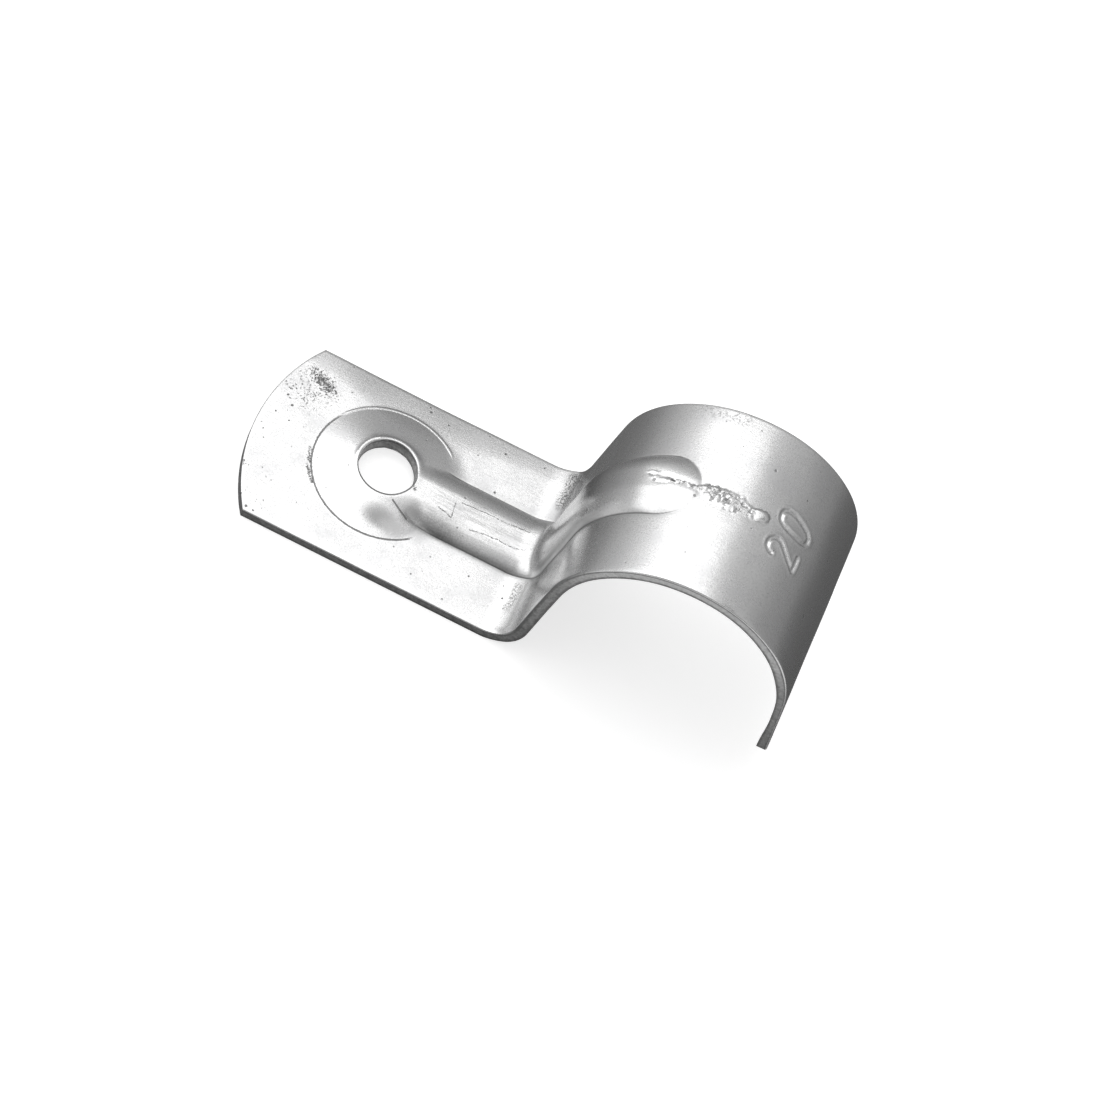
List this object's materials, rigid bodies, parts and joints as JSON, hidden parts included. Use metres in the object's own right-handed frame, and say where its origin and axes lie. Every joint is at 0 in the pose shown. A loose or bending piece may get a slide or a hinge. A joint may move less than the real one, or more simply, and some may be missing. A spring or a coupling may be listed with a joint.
{
  "type": "conduit strap",
  "caption": "Pressed steel half saddle for 20 mm conduit: flat screw foot with a rounded end, raised hole, stiffening rib and an open loop with a short free leg.",
  "frame": {"origin": "on the conduit's axis, half way across the strip", "axes": "+X from the foot's rounded end towards the loop, +Y along the conduit, +Z away from the wall"},
  "size_m": [0.0519, 0.0188, 0.0209],
  "materials": {
    "zinc_plate": "bright zinc-plated sheet steel, slightly dull, with small pits and scuffs"
  },
  "bodies": {
    "root": {"strap": "zinc_plate"}
  },
  "joints": []
}
